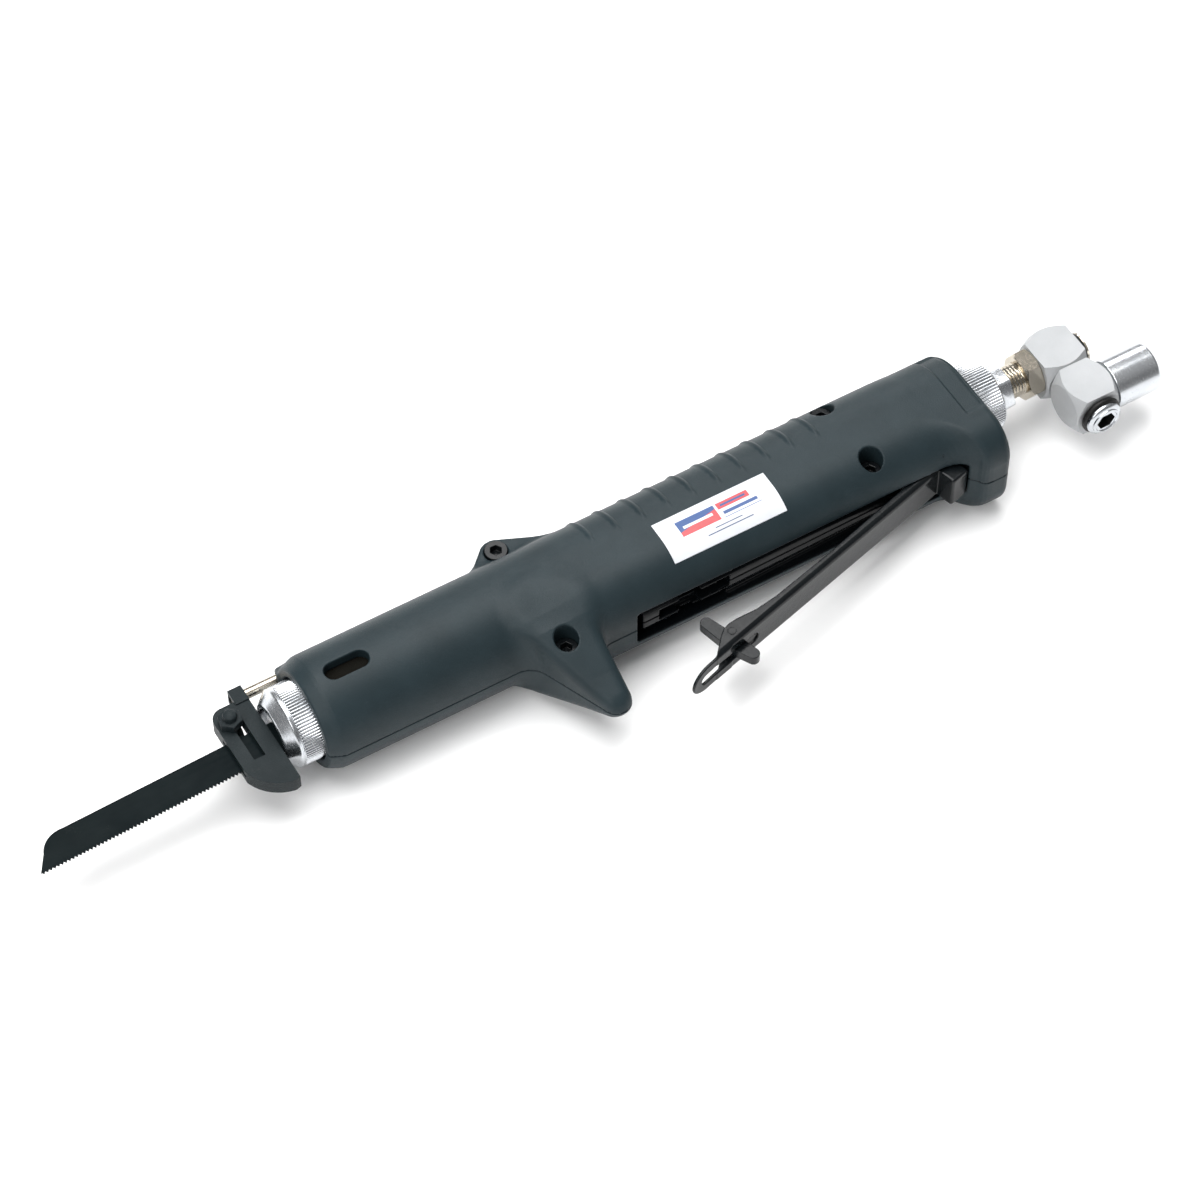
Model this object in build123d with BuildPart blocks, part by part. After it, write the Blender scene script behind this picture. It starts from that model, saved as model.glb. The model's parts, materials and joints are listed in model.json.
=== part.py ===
from build123d import *
import os
from math import cos, radians, sin, tan

# Pneumatic body saw lying on its right side.
# X runs along the tool: blade toward -X, air inlet toward +X. +Y is the ribbed spine, -Y the lever side.
# Z is up, and Z = 0 is the flat side it lies on.
# The pieces are drawn with X = 0 at the grip's front lip and Y = 0 on the tool's axis, then all are moved
# together so that the frame's origin is on the resting flat, at (rest_x, rest_y).

# ---- driving dimensions, mm ----
fit = 0.05                # radial clearance of a running fit
gap = 0.4                 # clearance between pieces that move past each other
rest_x = 180.0            # frame's origin: behind the front lip
rest_y = -5.0             # frame's origin: from the tool's axis

# housing
spine_r = 21.5            # radius of the spine, and half the grip's thickness
barrel_r = 21.3
corner_r = 17.0           # radius of the grip's two lower corners
grip_low = 26.8           # grip's depth below the axis
housing_len = 271.0
barrel_len = 104.0
flare_x = 256.0           # where the rear foot starts
foot_low = 35.5           # foot's depth below the axis
foot_r = 13.5
foot_half = 21.2          # half the foot's thickness
lip_x = 3.0               # thickness of the housing's front wall
rear_wall = 6.0

# motor
motor_r = 16.6
motor_x = 3.4
motor_end = 206.0
spigot_r = 12.0
spigot_x = -5.0
chamber_r = 10.0          # space in which the blade holder travels
bush_x = 48.0
bush_len = 14.0
liner_r = motor_r - 2.6
bore_r = liner_r - 3.0
liner_end = 186.0
valve_plate_len = 6.0
neck_r = 9.0              # air passage tube behind the motor
neck_end = 264.0
neck_bore_r = 4.2

# front collar
collar_r = 14.9
collar_x = -12.5
collar_mouth_r = 9.4
collar_band_x = -8.5

# reciprocating parts
rod_r = 5.0
piston_x = 78.0
piston_len = 30.0
holder_r = 8.4
holder_x = -10.5
holder_len = 30.0
blade_w = 12.8
blade_t = 0.9
blade_tip_x = -106.8
blade_y = -1.9            # blade's middle line where it meets X = 0
blade_cant = 1.7          # degrees, tip toward the teeth
tooth_pitch = 1.41
tooth_depth = 0.9

# guide rod and guard
rod_y = 19.3
guide_r = 2.0
guide_len = 62.0
guard_x0 = -28.5
guard_x1 = -13.1
guard_t = 6.0
guard_low = -22.5
guard_high = 16.5
block_w = 6.6             # square block that holds the guide rod
block_len = 5.2
block_y = 18.2

# lever
pivot_x = 249.0
pivot_y = -22.4
pin_r = 2.0
lever_rest = 14.8         # degrees that the lever stands open
lever_half = 7.7
lever_len = 119.0
sheet_t = 1.2
web_out = 2.5             # outside of the web, outward of the pivot
latch_x = 108.0
latch_y = -1.6
latch_pin_r = 1.4
latch_t = 4.0
latch_hub_r = 3.2

# well in the grip for the lever
well_x0 = 119.0
latch_well_x = 158.0      # the well is deep enough for the folded latch up to here
latch_well_y = -18.1
well_half = 8.1
well_front_y = -23.3      # floor under the lever's side flanges, front and rear
well_rear_y = -20.6
well_rear_x = 241.0
saddle_half = 6.0         # rounded saddle that fits inside the lever's channel
saddle_x0 = 122.0
saddle_front_y = -25.2
saddle_rear_y = -23.8
saddle_end_x = 226.0
latch_slot_x0 = 129.0     # slot in the saddle, long enough for both arms of the folded latch
pin_notch_x0 = 137.0
pin_notch_x1 = 146.0
pin_notch_y = -20.6
pivot_well = 4.9          # well's depth inward of the pivot

# throttle valve
stem_x = 234.0
stem_r = 1.5
stem_bush_r = 4.0

# air inlet
ring_r = 13.7
ring_x = housing_len + 0.6
ring_len = 12.4
bushing_r = 9.0
thread_r = 6.58           # G 1/4 outside
tap_r = 5.9               # G 1/4 tapping size
hex_af = 17.0
adaptor_thread_len = 7.0
hex_len = 6.5
block = 18.0              # square bar of the swivel blocks
swivel_bore_r = 4.9
outlet_r = 9.5
outlet_len = 19.0

# housing screws: x, y, height of the counterbore's floor above the split
screw_r = 2.5
head_r = 4.15
counterbore_r = 4.4
screw_places = [(90.0, -26.5, 5.0), (90.7, 24.0, 3.0), (221.7, -16.5, 8.0), (220.0, 12.8, 8.0)]

# ribs on the spine
rib_count = 10
rib_pitch = 10.32
rib_x = 116.8
rib_h = 0.5
rib_w = 1.2
rib_low_y = 5.2           # the ribs stop here, short of the flat sides

label_len = 46.3
label_w = 16.4
label_x = 138.0
label_y = -11.9
label_t = 0.25

# ---- planes ----
axis_h = spine_r
SPLIT = Plane.XY.offset(axis_h)
AXIAL = Plane(origin=(0, 0, axis_h), x_dir=(1, 0, 0), z_dir=(0, -1, 0))


def section(x, y=0.0):
    """Plane across the tool at x, its own x toward the spine and its own y up."""
    return Plane(origin=(x, y, axis_h), x_dir=(0, 1, 0), z_dir=(1, 0, 0))


def facing_y(y, x=0.0):
    """Plane across the Y direction, its own x along the tool and its own y up."""
    return Plane(origin=(x, y, axis_h), x_dir=(1, 0, 0), z_dir=(0, -1, 0))


LEVER = Plane(origin=(pivot_x, pivot_y, axis_h), z_dir=(0, 0, 1),
              x_dir=(-cos(radians(lever_rest)), -sin(radians(lever_rest)), 0))


def tube(x0, x1, outer, inner=0.0, y=0.0):
    """Round tube or rod that runs along the tool."""
    with BuildPart() as piece:
        with BuildSketch(section(x0, y)):
            Circle(outer)
            if inner > 0:
                Circle(inner, mode=Mode.SUBTRACT)
        extrude(amount=x1 - x0)
    return piece.part


def grip_section():
    """Grip's cross-section: round spine above, two rounded corners below."""
    with Locations((corner_r - grip_low, spine_r - corner_r), (corner_r - grip_low, corner_r - spine_r)):
        Circle(corner_r)
    Circle(spine_r)
    make_hull()


def foot_section():
    """Rear foot's cross-section, deeper than the grip."""
    with Locations((foot_r - foot_low, foot_half - foot_r), (foot_r - foot_low, foot_r - foot_half)):
        Circle(foot_r)
    Circle(foot_half)
    make_hull()


# ---- housing shells ----
hook_root_x = 76.0
hook_back_x = 103.7
hook_tip_y = -54.8
# hook's half thickness z at each y
hook_profile = [(0, 20.5), (-22, 18.2), (-32, 13.8), (-42, 9.0), (-50, 5.8), (hook_tip_y, 3.4)]
lug_r = 6.4
lug_half = 7.0


def housing_outside():
    """Whole outside of the housing, before it is split and hollowed."""
    with BuildPart() as outside:
        with BuildSketch(section(0)):
            Circle(barrel_r)
        extrude(amount=barrel_len)
        chamfer(outside.faces().sort_by(Axis.X)[0].edges(), 2.4, 4.6)
        with BuildSketch(section(barrel_len)):
            grip_section()
        extrude(amount=housing_len - barrel_len)
        with BuildSketch(section(flare_x)):
            foot_section()
        extrude(amount=housing_len - flare_x)
        fillet(outside.faces().sort_by(Axis.X)[-1].edges(), 3.0)
        with BuildSketch(SPLIT):
            with Locations((screw_places[1][0], screw_places[1][1])):
                Circle(lug_r)
            with Locations((screw_places[1][0] - 14, barrel_r - 7), (screw_places[1][0] + 24, barrel_r - 7)):
                Circle(4)
            make_hull()
        extrude(amount=lug_half, both=True)
        for number in range(rib_count):
            with BuildSketch(section(rib_x + number * rib_pitch)):
                Circle(spine_r + rib_h)
                with Locations((rib_low_y - 2 * spine_r, 0)):
                    Rectangle(4 * spine_r, 4 * spine_r, mode=Mode.SUBTRACT)
                Circle(spine_r - 1, mode=Mode.SUBTRACT)
            extrude(amount=rib_w)
        # ridge over the guide rod
        with BuildSketch(section(1.5, rod_y)):
            Circle(guide_r + 1.8)
        extrude(amount=guide_len + 4)
    with BuildPart() as hook:
        with BuildSketch(SPLIT):
            with BuildLine():
                front = Spline((hook_root_x, -barrel_r + 3), (hook_root_x + 2, -barrel_r - 4), (84.7, -38.6),
                               (90.0, -49.8), (94.5, hook_tip_y + 0.8))
                tip = ThreePointArc(front @ 1, (97.6, hook_tip_y), (100.6, hook_tip_y + 3.2))
                back = Spline(tip @ 1, (102.4, -46.0), (103.4, -34.0), (hook_back_x, -barrel_r + 3))
                Line(back @ 1, front @ 0)
            make_face()
        extrude(amount=spine_r, both=True)
        with BuildSketch(section(0)):
            Polygon(*hook_profile, *[(y, -z) for y, z in reversed(hook_profile)], align=None)
        extrude(amount=barrel_len * 1.2, mode=Mode.INTERSECT)
        fillet(hook.faces().filter_by(GeomType.PLANE).group_by(Axis.Z)[-1].edges().group_by(Axis.Y)[0], 1.5)
    return outside.part + hook.part


def housing_inside():
    """Everything cut out of the housing."""
    with BuildPart() as inside:
        with BuildSketch(section(lip_x)):
            Circle(motor_r + 0.3)
        extrude(amount=motor_end + 1.0 - lip_x)
        add(tube(-1, lip_x + 1, collar_r + 0.8))
        add(tube(motor_end, housing_len - rear_wall, neck_r + 0.3))
        add(tube(neck_end - 1, housing_len + 1, bushing_r + 0.3))
        # well for the lever: deep where the latch folds in, shallow behind, deep again at the pivot
        with BuildSketch(SPLIT):
            Polygon((well_x0, -foot_low), (well_x0, latch_well_y), (latch_well_x, latch_well_y),
                    (latch_well_x, well_front_y), (well_rear_x, well_rear_y), (well_rear_x, pivot_y + pivot_well),
                    (flare_x, pivot_y + pivot_well), (flare_x, -foot_low), align=None)
        extrude(amount=well_half, both=True)
        with BuildSketch(SPLIT):
            Polygon((saddle_x0, latch_well_y + 0.5), (saddle_x0, saddle_front_y),
                    (saddle_end_x, saddle_rear_y), (saddle_end_x, latch_well_y + 0.5), align=None)
        extrude(amount=saddle_half, both=True, mode=Mode.SUBTRACT)
        # slot in the saddle for the folded latch, and a notch for the latch's pin and springs
        with BuildSketch(SPLIT):
            Polygon((latch_slot_x0, -foot_low), (latch_slot_x0, latch_well_y), (latch_well_x, latch_well_y),
                    (latch_well_x, -foot_low), align=None)
        extrude(amount=latch_t / 2 + 0.7, both=True)
        with BuildSketch(SPLIT):
            Polygon((pin_notch_x0, -foot_low), (pin_notch_x0, pin_notch_y), (pin_notch_x1, pin_notch_y),
                    (pin_notch_x1, -foot_low), align=None)
        extrude(amount=well_half, both=True)
        with BuildSketch(facing_y(0, stem_x)):
            Circle(stem_bush_r + 0.3)
        extrude(amount=grip_low)
        # lever's pivot pin
        with BuildSketch(SPLIT):
            with Locations((pivot_x, pivot_y)):
                Circle(pin_r)
        extrude(amount=14, both=True)
        # guide rod
        with BuildSketch(section(-1, rod_y)):
            Circle(guide_r + fit)
        extrude(amount=guide_len + 3)
        # screws: shank from below, head from above
        for x, y, floor in screw_places:
            with BuildSketch(SPLIT):
                with Locations((x, y)):
                    Circle(screw_r)
            extrude(amount=15, both=True)
            with BuildSketch(SPLIT.offset(floor)):
                with Locations((x, y)):
                    Circle(counterbore_r)
            extrude(amount=spine_r)
        # exhaust slot near the front, both sides
        with BuildSketch(SPLIT.offset(motor_r - 3)):
            with Locations((17.5, -1.0)):
                SlotOverall(17, 7)
        extrude(amount=10)
    return inside.part


outside_solid = housing_outside()
inside_solid = housing_inside()

with BuildPart() as left_housing_shell:
    add(outside_solid)
    add(inside_solid, mode=Mode.SUBTRACT)
    split(bisect_by=SPLIT, keep=Keep.TOP)

with BuildPart() as right_housing_shell:
    add(outside_solid)
    add(inside_solid, mode=Mode.SUBTRACT)
    split(bisect_by=SPLIT, keep=Keep.BOTTOM)

with BuildPart() as housing_screws:
    for x, y, floor in screw_places:
        with BuildSketch(SPLIT.offset(floor - 14)):
            with Locations((x, y)):
                Circle(screw_r - fit)
        extrude(amount=14)
        with BuildSketch(SPLIT.offset(floor)):
            with Locations((x, y)):
                Circle(head_r)
                RegularPolygon(2.3, 6, mode=Mode.SUBTRACT)
        extrude(amount=5)
        with BuildSketch(SPLIT.offset(floor)):
            with Locations((x, y)):
                Circle(head_r)
        extrude(amount=2.2)

with BuildPart() as side_label:
    with BuildSketch(section(label_x)):
        grip_section()
        offset(amount=label_t)
    extrude(amount=label_len)
    with BuildSketch(section(label_x)):
        grip_section()
    extrude(amount=label_len, mode=Mode.SUBTRACT)
    with BuildSketch(SPLIT):
        with Locations((label_x + label_len / 2, label_y)):
            Rectangle(label_len, label_w)
    extrude(amount=2 * spine_r, mode=Mode.INTERSECT)

with BuildPart() as lever_pivot_pin:
    with BuildSketch(SPLIT.offset(-13)):
        with Locations((pivot_x, pivot_y)):
            Circle(pin_r)
    extrude(amount=26)

# ---- front collar and motor ----
with BuildPart() as nose_collar:
    with BuildSketch(AXIAL):
        with BuildLine():
            Polyline((0.9, spigot_r + fit), (0.9, collar_r), (collar_band_x, collar_r),
                     (collar_band_x - 1.0, collar_r - 0.3), (collar_x, collar_r - 3.6),
                     (collar_x, collar_mouth_r), (spigot_x, collar_mouth_r), (spigot_x, spigot_r + fit),
                     close=True)
        make_face()
    revolve(axis=Axis((0, 0, axis_h), (1, 0, 0)))

with BuildPart() as motor_body:
    add(tube(spigot_x, motor_x, spigot_r, chamber_r))
    add(tube(motor_x, bush_x, motor_r, chamber_r))
    add(tube(bush_x, motor_end, motor_r, liner_r))
    fillet(motor_body.edges().filter_by(GeomType.CIRCLE).filter_by(lambda e: e.radius == motor_r), 0.8)

with BuildPart() as exhaust_silencer:
    add(tube(motor_x + 4, motor_x + 30, motor_r + 0.28, motor_r))

with BuildPart() as guide_bushing:
    add(tube(bush_x, bush_x + bush_len, liner_r, rod_r + fit))

with BuildPart() as cylinder_liner:
    add(tube(bush_x + bush_len, liner_end, liner_r, bore_r))

with BuildPart() as valve_plate:
    add(tube(liner_end, liner_end + valve_plate_len, liner_r))
    with BuildSketch(section(liner_end)):
        with PolarLocations(7.0, 4):
            Circle(1.6)
    extrude(amount=valve_plate_len, mode=Mode.SUBTRACT)

with BuildPart() as cylinder_head:
    add(tube(liner_end + valve_plate_len, motor_end, liner_r, neck_bore_r))

with BuildPart() as inlet_valve_body:
    add(tube(motor_end, neck_end, neck_r, neck_bore_r))
    with BuildSketch(facing_y(0, stem_x)):
        Circle(stem_bush_r)
    extrude(amount=neck_r + 1, mode=Mode.SUBTRACT)

# ---- pieces that go back and forth with the piston ----
with BuildPart() as piston:
    add(tube(holder_x + holder_len, piston_x, rod_r))
    add(tube(piston_x, piston_x + piston_len, bore_r - fit))
    for groove in (piston_x + 4, piston_x + piston_len - 6):
        add(tube(groove, groove + 2, bore_r, bore_r - 1.4), mode=Mode.SUBTRACT)

with BuildPart() as piston_seals:
    for groove in (piston_x + 4, piston_x + piston_len - 6):
        add(tube(groove, groove + 2, bore_r - fit, bore_r - 1.4))

blade_line = Plane(origin=(0, blade_y, axis_h), z_dir=(0, 0, 1),
                   x_dir=(cos(radians(blade_cant)), sin(radians(blade_cant)), 0))

with BuildPart() as blade_holder:
    add(tube(holder_x, holder_x + holder_len, holder_r))
    chamfer(blade_holder.edges().group_by(Axis.X)[0], 1.0)
    with BuildSketch(blade_line):
        with Locations((holder_x + 8, 0)):
            Rectangle(24, blade_w)
    extrude(amount=blade_t / 2 + 0.05, both=True, mode=Mode.SUBTRACT)
    for x in (holder_x + 5, holder_x + 13):
        with BuildSketch(SPLIT):
            with Locations((x, 0)):
                Circle(2.0)
        extrude(amount=holder_r, mode=Mode.SUBTRACT)

with BuildPart() as blade_clamp_screws:
    for x in (holder_x + 5, holder_x + 13):
        with BuildSketch(SPLIT.offset(blade_t / 2 + 0.05)):
            with Locations((x, 0)):
                Circle(2.0)
        extrude(amount=6.0)
        with BuildSketch(SPLIT.offset(4.0)):
            with Locations((x, 0)):
                RegularPolygon(1.15, 6)
        extrude(amount=6.0, mode=Mode.SUBTRACT)

blade_end = blade_tip_x / cos(radians(blade_cant))
tooth_count = int((-blade_end + holder_x - 6) / tooth_pitch)
with BuildPart() as saw_blade:
    with BuildSketch(blade_line):
        with BuildLine():
            back_edge = Line((holder_x + 18, blade_w / 2), (blade_end + 15, blade_w / 2))
            nose = ThreePointArc(back_edge @ 1, (blade_end + 7.6, blade_w / 2 - 2.0),
                                 (blade_end + 4.6, blade_w / 2 - 6.0))
            front_edge = Line(nose @ 1, (blade_end, -blade_w / 2))
            teeth = Polyline([front_edge @ 1]
                             + [(blade_end + tooth_pitch * n / 2, -blade_w / 2 + tooth_depth * (n % 2))
                                for n in range(1, 2 * tooth_count + 1)])
            Polyline(teeth @ 1, (holder_x + 18, -blade_w / 2), (holder_x + 18, blade_w / 2))
        make_face()
    extrude(amount=blade_t / 2, both=True)

# ---- guide rod and blade guard ----
with BuildPart() as guide_rod:
    add(tube(guard_x0 + 8, guard_x0 + guide_len, guide_r, y=rod_y))
    chamfer(guide_rod.edges().group_by(Axis.X)[-1], 0.4)

bolt_x = -23.4
bolt_y = 9.2
with BuildPart() as blade_guard:
    with BuildSketch(SPLIT):
        with BuildLine():
            lower = Polyline((guard_x1, guard_high), (guard_x1, guard_low), (guard_x1 - 2, guard_low - 0.6))
            chin = ThreePointArc(lower @ 1, (guard_x0 + 5.0, guard_low + 3.2), (guard_x0, guard_low + 10.5))
            front = Line(chin @ 1, (guard_x0, guard_high - 4.5))
            brow = ThreePointArc(front @ 1, (guard_x0 + 1.6, guard_high - 1.2), (guard_x0 + 5.0, guard_high))
            Line(brow @ 1, lower @ 0)
        make_face()
        with Locations(((guard_x0 + guard_x1) / 2 - 0.5, 0.8)):
            Rectangle(4.4, 18.5, mode=Mode.SUBTRACT)
    extrude(amount=guard_t / 2, both=True)
    with BuildSketch(SPLIT):
        with Locations((guard_x1 - block_len / 2, block_y)):
            Rectangle(block_len, block_w)
    extrude(amount=block_w / 2 + 0.2, both=True)
    # slit that the blade passes through
    with BuildSketch(SPLIT):
        with Locations((guard_x0 + 7, -3.0)):
            Rectangle(60, blade_w + 4.4)
    extrude(amount=blade_t / 2 + gap, both=True, mode=Mode.SUBTRACT)
    with BuildSketch(section(guard_x0, rod_y)):
        Circle(guide_r)
    extrude(amount=30, mode=Mode.SUBTRACT)
    with BuildSketch(SPLIT):
        with Locations((bolt_x, bolt_y)):
            Circle(1.5)
    extrude(amount=10, both=True, mode=Mode.SUBTRACT)

with BuildPart() as guard_screw:
    with BuildSketch(SPLIT.offset(-6.5)):
        with Locations((bolt_x, bolt_y)):
            Circle(1.5)
    extrude(amount=13)
    with BuildSketch(SPLIT.offset(6.5)):
        with Locations((bolt_x, bolt_y)):
            Circle(2.9)
    extrude(amount=2.6)
    fillet(guard_screw.edges().group_by(Axis.Z)[-1], 1.0)

with BuildPart() as guard_nuts:
    for low in (guard_t / 2, -guard_t / 2 - 2.4):
        with BuildSketch(SPLIT.offset(low)):
            with Locations((bolt_x, bolt_y)):
                RegularPolygon(3.1, 6)
                Circle(1.5, mode=Mode.SUBTRACT)
        extrude(amount=2.4)

# ---- lever ----
with BuildPart() as throttle_lever:
    with BuildSketch(LEVER):
        with BuildLine():
            Polyline((-3.8, web_out), (lever_len, web_out), (lever_len - 1.0, web_out - 1.8),
                     (latch_x + 2.6, latch_y - 2.8), (latch_x - 2.2, latch_y - 3.2), (94, -1.4),
                     (10, -1.4), (3.6, -3.0), (0, -4.4), (-3.8, -3.0), close=True)
        make_face()
    extrude(amount=lever_half, both=True)
    with BuildSketch(LEVER):
        with Locations((60, web_out - sheet_t - 10)):
            Rectangle(200, 20)
    extrude(amount=lever_half - sheet_t, both=True, mode=Mode.SUBTRACT)
    # flat tongue at the tip
    with BuildSketch(LEVER):
        with Locations((lever_len + 6, web_out - sheet_t / 2)):
            Rectangle(16, sheet_t)
    extrude(amount=6.2, both=True)
    # turned-down tab at the pivot end
    with BuildSketch(LEVER):
        with Locations((-3.2, web_out + 3.2)):
            Rectangle(sheet_t, 8.8)
    extrude(amount=lever_half, both=True)
    with BuildSketch(LEVER):
        with Locations((0, 0)):
            Circle(pin_r + fit)
        with Locations((latch_x, latch_y)):
            Circle(latch_pin_r)
    extrude(amount=20, both=True, mode=Mode.SUBTRACT)
    # slot for the latch
    with BuildSketch(LEVER):
        with Locations((latch_x + 5.0, web_out)):
            Rectangle(29, 8)
    extrude(amount=latch_t / 2 + gap, both=True, mode=Mode.SUBTRACT)

with BuildPart() as latch_pin:
    with BuildSketch(LEVER.offset(-lever_half)):
        with Locations((latch_x, latch_y)):
            Circle(latch_pin_r)
    extrude(amount=2 * lever_half)

with BuildPart() as safety_latch:
    with BuildSketch(LEVER):
        with Locations((latch_x, latch_y)):
            Circle(3.0)
        with Locations((latch_x + 0.6, latch_y - 11.6)):
            Circle(2.3)
        make_hull()
    extrude(amount=latch_t / 2, both=True)
    with BuildSketch(LEVER):
        with Locations((latch_x, latch_y)):
            Circle(latch_hub_r)
        with Locations((latch_x - 1.4, latch_y + 9.2)):
            Circle(2.3)
        make_hull()
    extrude(amount=latch_t / 2, both=True)
    with BuildSketch(LEVER):
        with Locations((latch_x, latch_y)):
            Circle(latch_pin_r + fit)
    extrude(amount=latch_t, both=True, mode=Mode.SUBTRACT)

with BuildPart() as latch_spring:
    for low in (latch_t / 2 + 0.4, -latch_t / 2 - 2.4):
        with BuildSketch(LEVER.offset(low)):
            with Locations((latch_x, latch_y)):
                Circle(2.3)
                Circle(1.7, mode=Mode.SUBTRACT)
        extrude(amount=2.0)

# ---- throttle valve ----
with BuildPart() as throttle_bushing:
    with BuildSketch(facing_y(-neck_bore_r - 0.6, stem_x)):
        Circle(stem_bush_r)
        Circle(stem_r + fit, mode=Mode.SUBTRACT)
    extrude(amount=9.0)

stem_tip_y = pivot_y - (pivot_x - stem_x) * tan(radians(lever_rest)) - (web_out - sheet_t) / cos(radians(lever_rest))
with BuildPart() as throttle_stem:
    with BuildSketch(facing_y(stem_tip_y + gap + 0.2, stem_x)):
        Circle(stem_r)
    extrude(amount=stem_tip_y + gap + 0.2 + neck_bore_r)
    fillet(throttle_stem.edges().group_by(Axis.Y)[0], 0.8)
    with BuildSketch(facing_y(-neck_bore_r, stem_x)):
        Circle(2.4)
    extrude(amount=-1.4)

# ---- regulator and air inlet ----
with BuildPart() as regulator_ring:
    add(tube(ring_x, ring_x + ring_len, ring_r, bushing_r + fit))
    chamfer(regulator_ring.edges().group_by(Axis.X)[-1].sort_by(SortBy.RADIUS)[-1], 0.7)

bushing_end = ring_x + ring_len + 6.4
with BuildPart() as inlet_bushing:
    add(tube(neck_end, ring_x + ring_len + 0.4, bushing_r))
    with BuildSketch(section(ring_x + ring_len + 0.4)):
        RegularPolygon(9.9, 6)
        Circle(9.6, mode=Mode.INTERSECT)
    extrude(amount=6.0)
    add(tube(neck_end, bushing_end - 12, neck_bore_r), mode=Mode.SUBTRACT)
    add(tube(bushing_end - 12, bushing_end + 1, thread_r), mode=Mode.SUBTRACT)

with BuildPart() as inlet_strainer:
    add(tube(bushing_end - 12, bushing_end - 10.5, thread_r, 2.0))

hex_x = bushing_end + adaptor_thread_len
block1_x = hex_x + hex_len + 0.3
with BuildPart() as inlet_adaptor:
    add(tube(bushing_end - 10.5, hex_x, thread_r))
    with BuildSketch(section(hex_x)):
        RegularPolygon(hex_af / 2, 6, major_radius=False)
        Circle(hex_af / 2 + 0.6, mode=Mode.INTERSECT)
    extrude(amount=hex_len)
    add(tube(hex_x + hex_len, block1_x + block + 2.6, swivel_bore_r - fit))
    add(tube(block1_x + block + 2.6, block1_x + block + 3.6, 6.4))
    add(tube(bushing_end - 10.5, block1_x + block / 2 + 2, 3.0), mode=Mode.SUBTRACT)

with BuildPart() as inner_o_ring:
    add(tube(block1_x + block + 0.3, block1_x + block + 2.6, 6.8, swivel_bore_r - fit))

block2_y = -block - 1.4
block2_x = block1_x + block / 2 + 1.0
with BuildPart() as inner_swivel_block:
    with BuildSketch(facing_y(block / 2 + 0.6, block1_x + block / 2)):
        RectangleRounded(block, block, 1.2)
        Circle(block * 0.66, mode=Mode.INTERSECT)
    extrude(amount=block + 0.6)
    add(tube(block1_x - 1, block1_x + block + 1, swivel_bore_r), mode=Mode.SUBTRACT)
    with BuildSketch(facing_y(-swivel_bore_r - 0.6, block2_x)):
        Circle(swivel_bore_r - fit)
    extrude(amount=block, mode=Mode.SUBTRACT)

with BuildPart() as outer_swivel_block:
    with BuildSketch(section(block2_x - block / 2 - 0.3, block2_y)):
        RectangleRounded(block, block, 1.2)
        Circle(block * 0.66, mode=Mode.INTERSECT)
    extrude(amount=block + 0.6)
    add(tube(block2_x, block2_x + block, 4.0, y=block2_y), mode=Mode.SUBTRACT)
    with BuildSketch(facing_y(block2_y + block, block2_x)):
        Circle(swivel_bore_r)
    extrude(amount=2 * block, mode=Mode.SUBTRACT)

with BuildPart() as swivel_bolt:
    with BuildSketch(facing_y(-swivel_bore_r - 0.6, block2_x)):
        Circle(swivel_bore_r - fit)
    extrude(amount=-block2_y + block / 2 - swivel_bore_r - 0.6 + 2.6)
    with BuildSketch(facing_y(block2_y - block / 2 - 2.6, block2_x)):
        Circle(7.2)
    extrude(amount=2.6)
    fillet(swivel_bolt.edges().group_by(Axis.Y)[0], 0.9)
    with BuildSketch(facing_y(block2_y - block / 2 - 2.4, block2_x)):
        RegularPolygon(3.4, 6)
    extrude(amount=4, mode=Mode.SUBTRACT)
    with BuildSketch(facing_y(-swivel_bore_r - 0.6, block2_x)):
        Circle(2.6)
    extrude(amount=block, mode=Mode.SUBTRACT)

with BuildPart() as outer_o_ring:
    with BuildSketch(facing_y(block2_y - block / 2 - 0.3, block2_x)):
        Circle(8.0)
        Circle(swivel_bore_r - fit, mode=Mode.SUBTRACT)
    extrude(amount=2.3)

outlet_x = block2_x + block / 2 + 0.3
with BuildPart() as outlet_sleeve:
    add(tube(outlet_x, outlet_x + outlet_len, outlet_r, y=block2_y))
    chamfer(outlet_sleeve.edges().group_by(Axis.X)[-1], 1.0)
    add(tube(outlet_x, outlet_x + 5, 4.0, y=block2_y), mode=Mode.SUBTRACT)
    add(tube(outlet_x + 5, outlet_x + outlet_len + 1, tap_r, y=block2_y), mode=Mode.SUBTRACT)

FRAME = Location((-rest_x, -rest_y, 0))
os.makedirs("parts", exist_ok=True)
pieces = {
    "left_housing_shell": left_housing_shell, "right_housing_shell": right_housing_shell,
    "housing_screws": housing_screws, "side_label": side_label, "lever_pivot_pin": lever_pivot_pin,
    "nose_collar": nose_collar, "motor_body": motor_body, "exhaust_silencer": exhaust_silencer,
    "guide_bushing": guide_bushing, "cylinder_liner": cylinder_liner, "valve_plate": valve_plate,
    "cylinder_head": cylinder_head, "inlet_valve_body": inlet_valve_body, "piston": piston,
    "piston_seals": piston_seals, "blade_holder": blade_holder, "blade_clamp_screws": blade_clamp_screws,
    "saw_blade": saw_blade, "guide_rod": guide_rod, "blade_guard": blade_guard, "guard_screw": guard_screw,
    "guard_nuts": guard_nuts, "throttle_lever": throttle_lever, "latch_pin": latch_pin,
    "safety_latch": safety_latch, "latch_spring": latch_spring, "throttle_bushing": throttle_bushing,
    "throttle_stem": throttle_stem, "regulator_ring": regulator_ring, "inlet_bushing": inlet_bushing,
    "inlet_strainer": inlet_strainer, "inlet_adaptor": inlet_adaptor, "inner_o_ring": inner_o_ring,
    "inner_swivel_block": inner_swivel_block, "outer_swivel_block": outer_swivel_block,
    "swivel_bolt": swivel_bolt, "outer_o_ring": outer_o_ring, "outlet_sleeve": outlet_sleeve,
}
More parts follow.
